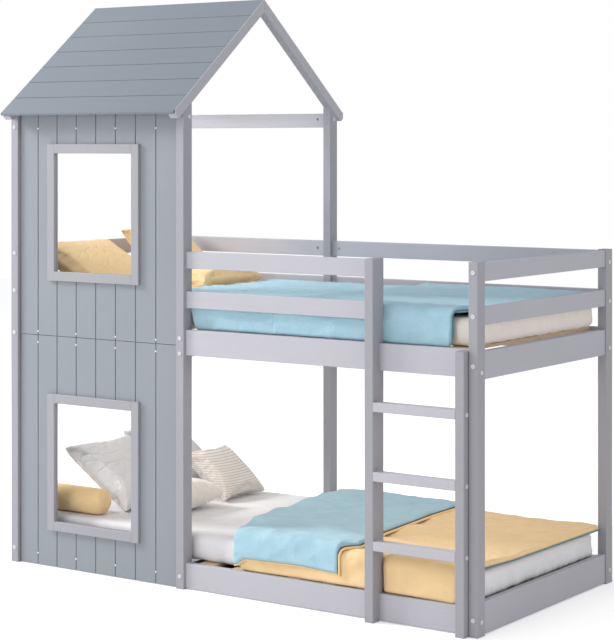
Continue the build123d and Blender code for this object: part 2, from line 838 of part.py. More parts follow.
# Mattresses
x_mattress_left = x_left_inner + mattress_end_gap
x_mattress_right = x_right_inner - mattress_end_gap
y_mattress_front = y_front_inner + mattress_front_gap
y_mattress_back = y_back_inner - mattress_back_gap
upper_mattress_top = upper_deck + soft_gap + mattress_thickness
lower_mattress_top = lower_deck + soft_gap + mattress_thickness


def soft_block(low, high):
    """Add a plain box between two opposite corners."""
    centre = [(start + end) / 2 for start, end in zip(low, high)]
    with Locations(tuple(centre)):
        Box(*[end - start for start, end in zip(low, high)])


for level, top in (("lower", lower_mattress_top), ("upper", upper_mattress_top)):
    with BuildPart() as mattress:
        low = (x_mattress_left, y_mattress_front, top - mattress_thickness)
        soft_block(low, (x_mattress_right, y_mattress_back, top))
        fillet(mattress.edges(), mattress_radius)
    keep(mattress, f"{level}_mattress")

# Upper duvet: over the mattress, and down behind the front guards
y_drop_back = y_mattress_front - soft_gap
y_drop_front = y_drop_back - drop_thickness
upper_duvet_bottom = upper_mattress_top + soft_gap
upper_duvet_top = upper_duvet_bottom + duvet_thickness
with BuildPart() as upper_duvet:
    soft_block(
        (x_left + upper_duvet_start, y_drop_back, upper_duvet_bottom),
        (x_mattress_right - upper_duvet_end_gap, y_mattress_back, upper_duvet_top),
    )
    soft_block(
        (x_middle_right + drop_start_gap, y_drop_front, upper_deck + drop_floor_gap),
        (x_right_inner - upper_drop_end_gap, y_drop_back, upper_duvet_top),
    )
    fillet(upper_duvet.edges(), duvet_radius)
keep(upper_duvet, "upper_duvet")

# Lower duvet: over the mattress, down its front, and out over the rail beside the ladder
lower_duvet_bottom = lower_mattress_top + soft_gap
lower_duvet_top = lower_duvet_bottom + duvet_thickness
bulge_bottom = lower_rail_top + bulge_floor_gap
bulge_top = bulge_bottom + bulge_height
y_bulge = y_drop_back - bulge_reach
left_stile_right = left_stile_left + stile_width
bulges = (
    (x_left + lower_drop_start, left_stile_left - bulge_side_gap),
    (left_stile_right + bulge_side_gap, right_stile_left - bulge_side_gap),
)
with BuildPart() as lower_duvet:
    soft_block(
        (x_left + lower_duvet_start, y_drop_back, lower_duvet_bottom),
        (x_mattress_right + lower_duvet_overhang, y_mattress_back, lower_duvet_top),
    )
    soft_block(
        (x_left + lower_drop_start, y_drop_front, bulge_bottom),
        (x_mattress_right, y_drop_back, lower_duvet_top),
    )
    for start, end in bulges:
        soft_block((start, y_bulge, bulge_bottom), (end, y_drop_front, bulge_top))
    fillet(lower_duvet.edges().group_by(Axis.Z)[-1], duvet_radius)
keep(lower_duvet, "lower_duvet")


def cushion(sizes, floor):
    """Add a cushion that is fullest in its middle, leaning back to the left, with its low end on `floor`."""
    from_left, from_front, lean, width, length, thickness = sizes
    rise = math.sin(math.radians(lean))
    run = math.cos(math.radians(lean))
    lift = max(share * width * rise - side * thickness * run for side, share in cushion_sections) / 2
    middle = (x_left + from_left, y_front + from_front, floor + soft_gap + lift)
    tilted = Plane(origin=middle, x_dir=(run, 0, -rise), z_dir=(rise, 0, run))
    sections = []
    for side, share in cushion_sections:
        with BuildSketch(tilted.offset(side * thickness / 2)) as section:
            corner = width * cushion_corner_share * share
            RectangleRounded(width * share, length * share, corner)
        sections.append(section.sketch)
    loft(sections, ruled=True)


with BuildPart() as upper_pillows:
    for sizes in upper_cushions:
        cushion(sizes, upper_mattress_top)
keep(upper_pillows, "upper_pillows")

with BuildPart() as lower_pillows:
    for sizes in lower_cushions:
        cushion(sizes, lower_mattress_top)
    bolster_y = y_front + bolster_front + bolster_diameter / 2
    bolster_z = lower_mattress_top + soft_gap + bolster_diameter / 2
    with BuildSketch(Plane.YZ.offset(x_left + bolster_left)) as bolster_end:
        with Locations((bolster_y, bolster_z)):
            Circle(bolster_diameter / 2)
    extrude(bolster_end.sketch, amount=bolster_length)
    bolster_edges = lower_pillows.edges().filter_by(GeomType.CIRCLE).filter_by(lambda edge: edge.is_closed)
    fillet(bolster_edges, bolster_radius)
keep(lower_pillows, "lower_pillows")
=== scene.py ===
# %% [markdown]
# A house bed, dressed for its picture
#
# The real thing is a bunk bed bolted together from painted pine boards, with a little house at one end
# and soft bedding on both decks. The timber is already built to size in the frame that loads here, so
# this lesson paints it, makes the fastener heads, and then makes everything that is soft.

# %% Load the frame
import math

import bmesh
import bpy
import numpy
from mathutils import Matrix, Vector, noise


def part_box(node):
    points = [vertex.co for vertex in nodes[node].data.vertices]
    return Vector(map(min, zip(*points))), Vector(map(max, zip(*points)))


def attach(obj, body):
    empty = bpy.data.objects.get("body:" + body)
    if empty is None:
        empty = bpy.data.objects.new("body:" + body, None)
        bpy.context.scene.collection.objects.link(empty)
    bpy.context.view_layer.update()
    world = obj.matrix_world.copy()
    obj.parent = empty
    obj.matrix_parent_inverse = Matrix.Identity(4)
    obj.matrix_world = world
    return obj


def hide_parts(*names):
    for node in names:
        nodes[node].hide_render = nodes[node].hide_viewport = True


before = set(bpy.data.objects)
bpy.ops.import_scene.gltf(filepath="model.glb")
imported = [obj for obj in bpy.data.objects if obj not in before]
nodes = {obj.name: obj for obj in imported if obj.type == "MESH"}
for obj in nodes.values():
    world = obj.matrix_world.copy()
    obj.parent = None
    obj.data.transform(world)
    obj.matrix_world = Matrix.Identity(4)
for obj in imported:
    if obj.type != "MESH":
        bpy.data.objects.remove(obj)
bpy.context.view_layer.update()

BODY = "root"
print("The frame has", len(nodes), "nodes")

# %% [markdown]
# Places on a bed are easiest to say as a joiner would: millimetres from its left and front faces, and
# up from the floor. One function turns such a place into the frame's metres.

# %% Places measured from the bed's left and front faces
MM = 0.001
bed_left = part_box("post_front_left")[0][0]
bed_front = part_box("post_front_left")[0][1]


def place(x, y, z):
    """Metres in the frame, from millimetres off the bed's left face, front face and floor."""
    return Vector((bed_left + x * MM, bed_front + y * MM, z * MM))


print("Left face at", round(bed_left, 4), "m, front face at", round(bed_front, 4), "m")

# %% [markdown]
# Colours are written as they look on a screen, in sRGB hex, and Blender computes in linear light. The
# first function does that change in one place. The second adds one node of any kind to any node tree.

# %% Colour and node helpers
def paint(code):
    """Linear colour, with alpha, of an sRGB hex code."""
    channels = [int(code[start:start + 2], 16) / 255 for start in (1, 3, 5)]
    linear = [c / 12.92 if c <= 0.04045 else ((c + 0.055) / 1.055) ** 2.4 for c in channels]
    return (*linear, 1.0)


def add_node(tree, kind, inputs=None, **settings):
    """Add a node, set its properties, and feed its inputs with values or with other nodes' sockets."""
    made = tree.nodes.new(kind)
    for name, value in settings.items():
        setattr(made, name, value)
    for key, value in (inputs or {}).items():
        if isinstance(value, bpy.types.NodeSocket):
            tree.links.new(value, made.inputs[key])
        else:
            made.inputs[key].default_value = value
    return made


def start_material(name, roughness, specular=0.5):
    """A new material with one principled shader, returned with its tree and shader."""
    material = bpy.data.materials.new(name)
    material.use_nodes = True
    tree = material.node_tree
    shader = tree.nodes["Principled BSDF"]
    shader.inputs["Roughness"].default_value = roughness
    shader.inputs["Specular IOR Level"].default_value = specular
    return material, tree, shader


# %% [markdown]
# Two small jobs come back for nearly every piece: to put it in the scene, and to give its mesh smooth
# shading and one material.

# %% Piece helpers
def linked(name, data):
    """A new object of a mesh, curve, camera or lamp, put in the scene."""
    made = bpy.data.objects.new(name, data)
    bpy.context.collection.objects.link(made)
    return made


def dress(piece, material):
    """Smooth shading and one material on a piece."""
    piece.data.materials.clear()
    piece.data.materials.append(material)
    for polygon in piece.data.polygons:
        polygon.use_smooth = True
    return piece


# %% [markdown]
# The frame is pine under a satin acrylic paint. Rollers and brushes leave it almost even: what the eye
# gets is a very faint grain along each board, where early wood sank under the paint, and a broad, soft
# change of tone. The grain runs along the board, so posts, rails and end rails each need their own
# direction of the same paint. Each also gets its own tone of that one paint, and these tones are painted
# light and shade: the posts, stiles and window frames are painted darker as shade, the rails lighter as
# light, and the end rails sit between. The slats are planed and left bare.

# %% Painted pine
GRAIN_WIDTH_MM = 5
GRAIN_LENGTH_MM = 260
BLOTCH_MM = 420
TONE_BASE = 0.22


def painted_pine(name, light, dark, along, relief=0.12):
    """Satin paint on pine whose grain runs along axis 0, 1 or 2."""
    material, tree, shader = start_material(name, roughness=0.5, specular=0.35)
    coordinates = add_node(tree, "ShaderNodeTexCoord")
    stretch = [1 / (GRAIN_WIDTH_MM * MM)] * 3
    stretch[along] = 1 / (GRAIN_LENGTH_MM * MM)
    grain_space = add_node(
        tree, "ShaderNodeMapping", {"Vector": coordinates.outputs["Object"], "Scale": stretch}
    )
    grain = add_node(
        tree, "ShaderNodeTexNoise",
        {"Vector": grain_space.outputs["Vector"], "Scale": 1.0, "Detail": 4.0, "Roughness": 0.55},
    )
    blotch = add_node(
        tree, "ShaderNodeTexNoise",
        {"Vector": coordinates.outputs["Object"], "Scale": 1 / (BLOTCH_MM * MM), "Detail": 1.0},
    )
    tone = add_node(
        tree, "ShaderNodeMath",
        {0: grain.outputs["Fac"], 1: blotch.outputs["Fac"], 2: TONE_BASE}, operation="MULTIPLY_ADD",
    )
    colour = add_node(
        tree, "ShaderNodeMix",
        {"Factor": tone.outputs["Value"], "A": paint(dark), "B": paint(light)}, data_type="RGBA",
    )
    tree.links.new(colour.outputs["Result"], shader.inputs["Base Color"])
    bump = add_node(
        tree, "ShaderNodeBump",
        {"Height": grain.outputs["Fac"], "Strength": relief, "Distance": 0.0006},
    )
    tree.links.new(bump.outputs["Normal"], shader.inputs["Normal"])
    return material


LENGTHWISE, CROSSWISE, UPRIGHT = 0, 1, 2
# One paint in three tones: the darker post tone is painted shade, the lighter rail tone is painted light,
# and the end rails' tone lies between them.
shaded_post_paint = painted_pine("painted_pine_post", "#A09FA5", "#939298", UPRIGHT)
lit_rail_paint = painted_pine("painted_pine_rail", "#B9B8BF", "#ACABB2", LENGTHWISE)
cross_paint = painted_pine("painted_pine_cross", "#B1B0B7", "#A4A3AA", CROSSWISE)
wall_paint = painted_pine("painted_wall_board", "#90959A", "#83888E", UPRIGHT)
roof_paint = painted_pine("painted_roof_board", "#7F878F", "#737A82", LENGTHWISE)
bare_pine = painted_pine("planed_pine", "#E2CDA8", "#CDB289", CROSSWISE, relief=0.3)
print("Six pine finishes")

# %% [markdown]
# Fasteners are zinc-plated steel inside the wood, and have pale coated heads where they show. The
# wall's screws have white ones.

# %% Steel
SPECKLE_SCALE, SPECKLE_SHARE = 900.0, 0.12


def steel(name, colour, metallic, roughness):
    """Plated or coated steel with a faint, fine unevenness."""
    material, tree, shader = start_material(name, roughness)
    shader.inputs["Metallic"].default_value = metallic
    coordinates = add_node(tree, "ShaderNodeTexCoord")
    speckle = add_node(
        tree, "ShaderNodeTexNoise", {"Vector": coordinates.outputs["Object"], "Scale": SPECKLE_SCALE}
    )
    fade = add_node(
        tree, "ShaderNodeMath", {0: speckle.outputs["Fac"], 1: SPECKLE_SHARE}, operation="MULTIPLY"
    )
    mix = add_node(
        tree, "ShaderNodeMix",
        {"Factor": fade.outputs["Value"], "A": paint(colour), "B": paint("#FFFFFF")}, data_type="RGBA",
    )
    tree.links.new(mix.outputs["Result"], shader.inputs["Base Color"])
    return material


coated_steel = steel("coated_steel", "#C9C8CC", metallic=0.0, roughness=0.35)
zinc_steel = steel("zinc_plated_steel", "#C6C8CA", metallic=1.0, roughness=0.35)
white_steel = steel("white_coated_steel", "#E9E9E7", metallic=0.0, roughness=0.4)
print("Three steels")

# %% [markdown]
# Every timber keeps its own mesh from the frame and only needs paint. Its name says which way it runs.

# %% Paint the timber
ALONG_Y = ("end_rail", "guard_left", "guard_right", "cross_beam", "gable_tie", "rafter")
ALONG_Z = ("post", "stile", "window_frame")


def finish_for(name):
    """The finish of a timber, from its node's name."""
    if name.startswith("wall_panel"):
        return wall_paint
    if name == "roof_panel":
        return roof_paint
    if name == "bed_slats":
        return bare_pine
    if any(word in name for word in ALONG_Z):
        return shaded_post_paint
    if any(word in name for word in ALONG_Y):
        return cross_paint
    return lit_rail_paint


SOFT_NODES = (
    "upper_mattress", "lower_mattress", "upper_duvet", "lower_duvet", "upper_pillows", "lower_pillows"
)
FASTENER_FINISHES = {
    "connector_bolts": coated_steel, "rail_studs": zinc_steel, "barrel_nuts": zinc_steel,
    "wood_screws": white_steel,
}
for name, node in nodes.items():
    if name not in SOFT_NODES:
        node.data.materials.clear()
        node.data.materials.append(FASTENER_FINISHES.get(name) or finish_for(name))
print("Painted", len(nodes) - len(SOFT_NODES), "nodes")

# %% [markdown]
# Bolt and screw heads are what shows of the fasteners. Each head is a small turned form whose drive
# recess is a six-sided or cross-shaped well: rings of points, stacked along the head's axis, with the
# radius of each ring given as a function of the angle.

# %% Fastener heads
RING_POINTS = 48


def circle(radius):
    """A round ring."""
    return lambda angle: radius


def hexagon(flat):
    """A six-sided ring, `flat` from its centre to each side."""
    return lambda angle: flat / math.cos((angle % (math.pi / 3)) - math.pi / 6)


def cross(arm, half_width):
    """A plus-shaped ring."""
    def radius(angle):
        turned = (angle + math.pi / 4) % (math.pi / 2) - math.pi / 4
        if abs(math.tan(turned)) * arm < half_width:
            return arm / math.cos(turned)
        return half_width / abs(math.sin(turned))
    return radius


def ring_form(name, rings):
    """A closed form from (radius function, height) rings in millimetres, bottom first."""
    work = bmesh.new()
    loops = []
    for radius, height in rings:
        loop = []
        for step in range(RING_POINTS):
            angle = 2 * math.pi * step / RING_POINTS
            reach = radius(angle) * MM
            loop.append(work.verts.new((reach * math.cos(angle), reach * math.sin(angle), height * MM)))
        loops.append(loop)
    for lower, upper in zip(loops, loops[1:]):
        for step in range(RING_POINTS):
            after = (step + 1) % RING_POINTS
            work.faces.new((lower[step], lower[after], upper[after], upper[step]))
    work.faces.new(tuple(reversed(loops[0])))
    work.faces.new(tuple(loops[-1]))
    bmesh.ops.recalc_face_normals(work, faces=work.faces)
    mesh = bpy.data.meshes.new(name)
    work.to_mesh(mesh)
    work.free()
    return linked(name, mesh)


BOLT_HEAD_RADIUS, BOLT_HEAD_HEIGHT, BOLT_RADIUS = 7.5, 2.5, 3
SCREW_HEAD_RADIUS, SCREW_HEAD_HEIGHT, SCREW_RADIUS = 3.5, 1.2, 1.75
bolt_rings = [
    (circle(BOLT_HEAD_RADIUS), 0), (circle(BOLT_HEAD_RADIUS), BOLT_HEAD_HEIGHT - 0.8),
    (circle(BOLT_HEAD_RADIUS - 0.6), BOLT_HEAD_HEIGHT), (hexagon(2.5), BOLT_HEAD_HEIGHT),
    (hexagon(2.4), 0.6),
]
screw_rings = [
    (circle(SCREW_HEAD_RADIUS), 0), (circle(SCREW_HEAD_RADIUS), SCREW_HEAD_HEIGHT / 2),
    (circle(SCREW_HEAD_RADIUS - 0.6), SCREW_HEAD_HEIGHT), (cross(1.8, 0.5), SCREW_HEAD_HEIGHT),
    (cross(1.6, 0.4), 0.4),
]
bolt_head = ring_form("bolt_head", bolt_rings)
screw_head = ring_form("screw_head", screw_rings)
print("Head faces:", len(bolt_head.data.polygons), "and", len(screw_head.data.polygons))

# %% [markdown]
# Where the fasteners sit is read from the frame itself. A merged copy of the fasteners' mesh falls apart
# into one island for each; the island's long direction is its axis, and its wide end is its head.

# %% Where the fasteners are
MERGE_DISTANCE = 0.01 * MM
STRAIGHT_SHARE = 0.9
WIDE_SHARE = 0.95


def fastener_places(node_name, head_radius):
    """The seat of each head, its outward direction and the shank's length, in metres."""
    node = nodes[node_name]
    work = bmesh.new()
    work.from_mesh(node.data)
    bmesh.ops.remove_doubles(work, verts=work.verts, dist=MERGE_DISTANCE)
    waiting = set(work.verts)
    found = []
    while waiting:
        front = [waiting.pop()]
        island = []
        while front:
            point = front.pop()
            island.append(node.matrix_world @ point.co)
            for edge in point.link_edges:
                other = edge.other_vert(point)
                if other in waiting:
                    waiting.remove(other)
                    front.append(other)
        spots = numpy.array([tuple(spot) for spot in island])
        middle = (spots.max(axis=0) + spots.min(axis=0)) / 2
        reach = spots.max(axis=0) - spots.min(axis=0)
        axis = numpy.linalg.svd(spots - spots.mean(axis=0), full_matrices=False)[2][0]
        if reach.max() > STRAIGHT_SHARE * numpy.linalg.norm(reach):
            axis = numpy.eye(3)[reach.argmax()]
        along = (spots - middle) @ axis
        aside = numpy.linalg.norm(spots - middle - numpy.outer(along, axis), axis=1)
        wide = along[aside > head_radius * WIDE_SHARE]
        if len(wide) and wide.mean() < 0:
            axis, along, wide = -axis, -along, -wide
        seat = middle + axis * wide.min()
        found.append((seat, axis, wide.min() - along.min()))
    work.free()
    return found


bolt_places = fastener_places("connector_bolts", BOLT_HEAD_RADIUS * MM)
screw_places = fastener_places("wood_screws", SCREW_HEAD_RADIUS * MM)
print(len(bolt_places), "bolts and", len(screw_places), "wood screws")

# %% [markdown]
# One node tree sets a head and a shank on every point, turned to the point's own direction. The head's
# object, the shank's radius, the seed of its chance turn and the material are its named inputs.

# %% Fastener node tree
def fastener_tree():
    """A node tree that stands heads and shanks on points carrying `way` and `shank`."""
    tree = bpy.data.node_groups.new("fasteners_on_points", "GeometryNodeTree")
    face = tree.interface
    face.new_socket("Geometry", in_out="INPUT", socket_type="NodeSocketGeometry")
    face.new_socket("Head", in_out="INPUT", socket_type="NodeSocketObject")
    face.new_socket("Shank Radius", in_out="INPUT", socket_type="NodeSocketFloat")
    face.new_socket("Seed", in_out="INPUT", socket_type="NodeSocketInt")
    face.new_socket("Material", in_out="INPUT", socket_type="NodeSocketMaterial")
    face.new_socket("Geometry", in_out="OUTPUT", socket_type="NodeSocketGeometry")
    given = add_node(tree, "NodeGroupInput")
    way = add_node(tree, "GeometryNodeInputNamedAttribute", {"Name": "way"}, data_type="FLOAT_VECTOR")
    length = add_node(tree, "GeometryNodeInputNamedAttribute", {"Name": "shank"}, data_type="FLOAT")
    turn = add_node(
        tree, "FunctionNodeAlignRotationToVector", {"Vector": way.outputs["Attribute"]}, axis="Z"
    )
    chance = add_node(
        tree, "FunctionNodeRandomValue", {"Seed": given.outputs["Seed"]}, data_type="FLOAT"
    )
    chance.inputs[3].default_value = 2 * math.pi
    spin = add_node(tree, "ShaderNodeCombineXYZ", {"Z": chance.outputs[1]})
    as_turn = add_node(tree, "FunctionNodeEulerToRotation", {"Euler": spin.outputs["Vector"]})
    both = add_node(
        tree, "FunctionNodeRotateRotation",
        {"Rotation": turn.outputs["Rotation"], "Rotate By": as_turn.outputs["Rotation"]},
        rotation_space="LOCAL",
    )
    head = add_node(tree, "GeometryNodeObjectInfo", {"Object": given.outputs["Head"]})
    heads = add_node(
        tree, "GeometryNodeInstanceOnPoints",
        {
            "Points": given.outputs["Geometry"], "Instance": head.outputs["Geometry"],
            "Rotation": both.outputs["Rotation"],
        },
    )
    rod = add_node(
        tree, "GeometryNodeMeshCylinder",
        {"Vertices": 16, "Radius": given.outputs["Shank Radius"], "Depth": 1.0},
    )
    hung = add_node(
        tree, "GeometryNodeTransform", {"Geometry": rod.outputs["Mesh"], "Translation": (0, 0, -0.5)}
    )
    stretch = add_node(
        tree, "ShaderNodeCombineXYZ", {"X": 1.0, "Y": 1.0, "Z": length.outputs["Attribute"]}
    )
    shanks = add_node(
        tree, "GeometryNodeInstanceOnPoints",
        {
            "Points": given.outputs["Geometry"], "Instance": hung.outputs["Geometry"],
            "Rotation": turn.outputs["Rotation"], "Scale": stretch.outputs["Vector"],
        },
    )
    joined = add_node(tree, "GeometryNodeJoinGeometry")
    tree.links.new(heads.outputs["Instances"], joined.inputs["Geometry"])
    tree.links.new(shanks.outputs["Instances"], joined.inputs["Geometry"])
    real = add_node(tree, "GeometryNodeRealizeInstances", {"Geometry": joined.outputs["Geometry"]})
    dressed = add_node(
        tree, "GeometryNodeSetMaterial",
        {"Geometry": real.outputs["Geometry"], "Material": given.outputs["Material"]},
    )
    add_node(tree, "NodeGroupOutput", {"Geometry": dressed.outputs["Geometry"]})
    return tree


fasteners_on_points = fastener_tree()
print("The fastener tree has", len(fasteners_on_points.nodes), "nodes")

# %% [markdown]
# A modifier's result has to become a plain mesh before the frame takes the piece. The same small
# function does that for node trees, remeshes, cloth and curves.

# %% Set the fasteners
def applied(name, source, tree=None, values=None):
    """A plain mesh object of what the source's modifiers make; the source goes."""
    if tree:
        modifier = source.modifiers.new("nodes", "NODES")
        modifier.node_group = tree
        for item in tree.interface.items_tree:
            if item.item_type == "SOCKET" and item.in_out == "INPUT" and item.name in values:
                modifier[item.identifier] = values[item.name]
        source.update_tag()
    graph = bpy.context.evaluated_depsgraph_get()
    graph.update()
    mesh = bpy.data.meshes.new_from_object(source.evaluated_get(graph), depsgraph=graph)
    mesh.name = name
    made = linked(name, mesh)
    old = source.data
    bpy.data.objects.remove(source)
    if isinstance(old, bpy.types.Mesh):
        bpy.data.meshes.remove(old)
    return made


def set_fasteners(name, places, head, shank_radius, material, node):
    """Stand heads and shanks at the places, in place of the frame's plain ones."""
    mesh = bpy.data.meshes.new(name + "_points")
    mesh.from_pydata([tuple(seat) for seat, _, _ in places], [], [])
    mesh.attributes.new("way", "FLOAT_VECTOR", "POINT")
    mesh.attributes.new("shank", "FLOAT", "POINT")
    for number, (_, axis, reach) in enumerate(places):
        mesh.attributes["way"].data[number].vector = tuple(axis)
        mesh.attributes["shank"].data[number].value = reach
    points = linked(name + "_points", mesh)
    values = {"Head": head, "Shank Radius": shank_radius, "Seed": len(places), "Material": material}
    piece = applied(name, points, tree=fasteners_on_points, values=values)
    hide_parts(node)
    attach(piece, BODY)
    return piece


bolts = set_fasteners(
    "bolts_with_sockets", bolt_places, bolt_head, BOLT_RADIUS * MM, coated_steel, "connector_bolts",
)
screws = set_fasteners(
    "screws_with_crosses", screw_places, screw_head, SCREW_RADIUS * MM, white_steel, "wood_screws",
)
for head in (bolt_head, screw_head):
    bpy.data.objects.remove(head)
print("Fastener faces:", len(bolts.data.polygons) + len(screws.data.polygons))

# %% [markdown]
# Bedding is cotton. A thread is about 0.3 mm, too fine to show from across a room, so the weave is drawn
# at 2.4 mm. What does show is the cloth's soft mottling and its crumpled relief.

# %% Cotton
WEAVE_MM = 2.4
CRUMPLE_MM = 34


def cotton(name, light, dark, crumple=0.35, stripe=None):
    """Woven cotton, mottled and slightly crumpled; stripe gives a second colour for narrow stripes."""
    material, tree, shader = start_material(name, roughness=0.9, specular=0.2)
    shader.inputs["Sheen Weight"].default_value = 0.12
    shader.inputs["Sheen Roughness"].default_value = 0.6
    coordinates = add_node(tree, "ShaderNodeTexCoord")
    spot = coordinates.outputs["Object"]
    mottle = add_node(tree, "ShaderNodeTexNoise", {"Vector": spot, "Scale": 18.0, "Detail": 5.0})
    colour = add_node(
        tree, "ShaderNodeMix",
        {"Factor": mottle.outputs["Fac"], "A": paint(dark), "B": paint(light)}, data_type="RGBA",
    ).outputs["Result"]
    if stripe:
        lines = add_node(
            tree, "ShaderNodeTexWave",
            {"Vector": spot, "Scale": 36.0, "Distortion": 0.6, "Detail": 1.0},
            bands_direction="Z", wave_profile="SIN",
        )
        narrow = add_node(
            tree, "ShaderNodeMapRange",
            {"Value": lines.outputs["Fac"], "From Min": 0.7, "From Max": 0.95},
        )
        colour = add_node(
            tree, "ShaderNodeMix",
            {"Factor": narrow.outputs["Result"], "A": colour, "B": paint(stripe)}, data_type="RGBA",
        ).outputs["Result"]
    tree.links.new(colour, shader.inputs["Base Color"])
    weave = add_node(
        tree, "ShaderNodeTexNoise", {"Vector": spot, "Scale": 1 / (WEAVE_MM * MM), "Detail": 2.0}
    )
    folds = add_node(
        tree, "ShaderNodeTexNoise", {"Vector": spot, "Scale": 1 / (CRUMPLE_MM * MM), "Detail": 3.0}
    )
    crumpled = add_node(
        tree, "ShaderNodeBump",
        {"Height": folds.outputs["Fac"], "Strength": crumple, "Distance": 0.006},
    )
    woven = add_node(
        tree, "ShaderNodeBump",
        {
            "Height": weave.outputs["Fac"], "Strength": 0.15, "Distance": 0.0008,
            "Normal": crumpled.outputs["Normal"],
        },
    )
    tree.links.new(woven.outputs["Normal"], shader.inputs["Normal"])
    return material


cream_sheet = cotton("cream_percale", "#EDE5DC", "#E0D7CE", crumple=0.25)
white_sheet = cotton("white_percale", "#E6E5E6", "#D6D4D6", crumple=0.25)
blue_cotton = cotton("blue_washed_cotton", "#A9C9D5", "#93B8C6", crumple=0.6)
yellow_cotton = cotton("yellow_washed_cotton", "#EFD2A2", "#E2BE88", crumple=0.45)
grey_cotton = cotton("grey_cotton", "#DAD9DA", "#CBCACB", crumple=0.3)
striped_cotton = cotton("striped_cotton", "#E6DED6", "#D9D1C9", crumple=0.3, stripe="#BDB3AC")
teal_hem = cotton("teal_hem", "#4E8C9C", "#41798A")
brown_piping = cotton("brown_piping", "#7A5A34", "#684B2A")
print("Eight cottons")

# %% [markdown]
# Most bedding here starts the same way: a middle surface, a sheet of points, gets a top and a bottom
# skin which meet at its rim. A cushion's middle is flat and its thickness grows to a crown; a quilt's
# middle bends over the mattress and its thickness is even, with a round rim. Creases come from noise
# whose zero line is turned up into a sharp crest.

# %% A closed pad from a sheet of points
RIM_MERGE = 0.2 * MM
CREST_GAIN = 2.2


def pad_object(name, top, bottom, material):
    """Join two grids of points (rows, columns, 3) that share their rim into one closed object."""
    rows, columns = top.shape[:2]
    points = numpy.concatenate([top.reshape(-1, 3), bottom.reshape(-1, 3)])
    faces = []
    for row in range(rows - 1):
        for column in range(columns - 1):
            first = row * columns + column
            quad = (first, first + columns, first + columns + 1, first + 1)
            faces.append(quad)
            faces.append(tuple(rows * columns + corner for corner in reversed(quad)))
    mesh = bpy.data.meshes.new(name)
    mesh.from_pydata(points.tolist(), [], faces)
    work = bmesh.new()
    work.from_mesh(mesh)
    bmesh.ops.remove_doubles(work, verts=work.verts, dist=RIM_MERGE)
    bmesh.ops.recalc_face_normals(work, faces=work.faces)
    work.to_mesh(mesh)
    work.free()
    return dress(linked(name, mesh), material)


def surface_normals(middle):
    """Unit normals of a sheet of points."""
    along_rows = numpy.gradient(middle, axis=0)
    along_columns = numpy.gradient(middle, axis=1)
    normals = numpy.cross(along_rows, along_columns)
    return normals / numpy.linalg.norm(normals, axis=2, keepdims=True)


def values_of(mesh, kind):
    """The mesh's points ("co") or their normals ("normal") as an array."""
    values = numpy.zeros(len(mesh.vertices) * 3)
    mesh.vertices.foreach_get(kind, values)
    return values.reshape(-1, 3)


def ridged(spot, scale, seed):
    """Noise with sharp crests that reach 1, for creases."""
    scaled = Vector((spot[0] / scale[0] + seed, spot[1] / scale[1] - seed, spot[2] / scale[2]))
    return 1 - abs(noise.noise(scaled)) * CREST_GAIN


# %% [markdown]
# The camera stood well back, to the front right and a little higher than the upper deck's guard. Its
# film was shifted instead of tilting it, so that the posts stay upright. Its place comes from matching
# the corners of the frame with the picture's.

# %% Camera
CAMERA_X, CAMERA_Y, CAMERA_Z = 5171.0, -5467.3, 1605.7
CAMERA_TURN = 0.6055
FOCAL_PIXELS, IMAGE_WIDTH, IMAGE_HEIGHT, HORIZON_PIXEL = 1930.5, 614, 640, 144.2
SENSOR_MM, FAR_LIMIT = 36.0, 60
camera_data = bpy.data.cameras.new("camera")
camera_data.sensor_fit = "HORIZONTAL"
camera_data.sensor_width = SENSOR_MM
camera_data.lens = SENSOR_MM * FOCAL_PIXELS / IMAGE_WIDTH
camera_data.shift_y = (HORIZON_PIXEL - IMAGE_HEIGHT / 2) / IMAGE_WIDTH
camera_data.clip_end = FAR_LIMIT
camera = linked("camera", camera_data)
camera.location = place(CAMERA_X, CAMERA_Y, CAMERA_Z)
camera.rotation_euler = (math.pi / 2, 0, CAMERA_TURN)
bpy.context.scene.camera = camera
print("Lens", round(camera_data.lens, 1), "mm, shifted by", round(camera_data.shift_y, 3))

# %% [markdown]
# The mattresses are foam blocks in fitted sheets. Each starts as a block whose faces are grids of
# points, is rounded at its edges, and is then moved by noise: a slow swell on top, and gathers at its
# ends, where the sheet's elastic pulls it under.

# %% Mattresses
EDGE_RADIUS = 26 * MM
POINT_STEP = 12 * MM
SEAM_MERGE = 0.1 * MM
SHEET_INSET = 3 * MM
END_REACH, FRONT_REACH = 0.12, 0.05
PUCKER_DEPTH, SWELL_DEPTH = 0.006, 0.004


def rounded_block(name, low, high, radius, step, material):
    """A block with a grid of points on each face and edges of one radius, in metres."""
    work = bmesh.new()
    low, high = Vector(low), Vector(high)
    counts = [max(2, round((high[axis] - low[axis]) / step)) for axis in range(3)]
    for axis in range(3):
        first, second = (axis + 1) % 3, (axis + 2) % 3
        for side in (low, high):
            grid = []
            for i in range(counts[first] + 1):
                row = []
                for j in range(counts[second] + 1):
                    spot = Vector((0, 0, 0))
                    spot[axis] = side[axis]
                    spot[first] = low[first] + (high[first] - low[first]) * i / counts[first]
                    spot[second] = low[second] + (high[second] - low[second]) * j / counts[second]
                    row.append(work.verts.new(spot))
                grid.append(row)
            for i in range(counts[first]):
                for j in range(counts[second]):
                    quad = (grid[i][j], grid[i + 1][j], grid[i + 1][j + 1], grid[i][j + 1])
                    work.faces.new(quad if side is high else tuple(reversed(quad)))
    bmesh.ops.remove_doubles(work, verts=work.verts, dist=SEAM_MERGE)
    for point in work.verts:
        inner = Vector(
            [min(max(point.co[axis], low[axis] + radius), high[axis] - radius) for axis in range(3)]
        )
        out = point.co - inner
        if out.length > 0:
            point.co = inner + out.normalized() * radius
    bmesh.ops.recalc_face_normals(work, faces=work.faces)
    mesh = bpy.data.meshes.new(name)
    work.to_mesh(mesh)
    work.free()
    return dress(linked(name, mesh), material)


